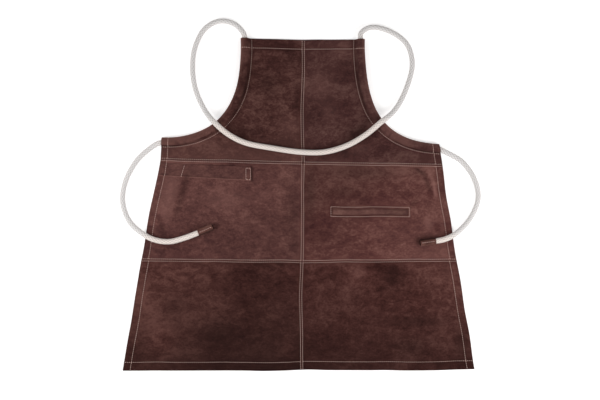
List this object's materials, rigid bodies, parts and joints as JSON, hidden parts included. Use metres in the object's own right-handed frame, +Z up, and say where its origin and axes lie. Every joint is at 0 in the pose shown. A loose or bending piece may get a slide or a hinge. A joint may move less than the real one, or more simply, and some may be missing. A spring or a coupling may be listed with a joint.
{
  "type": "grill apron",
  "caption": "Bib apron of sewn suede panels with armhole casings, a braided rope neck loop and ties, a welt pocket and a hip strap, lying open face up.",
  "frame": {"origin": "centre of the leather's outline, on the surface that the apron lies on", "axes": "+X to the picture's right along the hem, +Y from the hem to the bib's top, +Z up out of the apron's face"},
  "size_m": [0.8158, 0.7943, 0.0318],
  "materials": {
    "suede_bib": "dark brown suede split leather",
    "suede_waist": "red brown suede split leather",
    "suede_skirt": "dark brown suede split leather",
    "suede_trim": "brown suede split leather",
    "cotton_rope": "natural braided cotton"
  },
  "bodies": {
    "root": {"bib_left": "suede_bib", "bib_right": "suede_bib", "waist_left": "suede_waist", "waist_right": "suede_waist", "skirt_left": "suede_skirt", "skirt_right": "suede_skirt", "hip_strap": "suede_trim", "pocket_welt": "suede_trim", "pocket_bag": "suede_trim", "rope": "cotton_rope", "tip_left": "suede_trim", "tip_right": "suede_trim"}
  },
  "joints": []
}
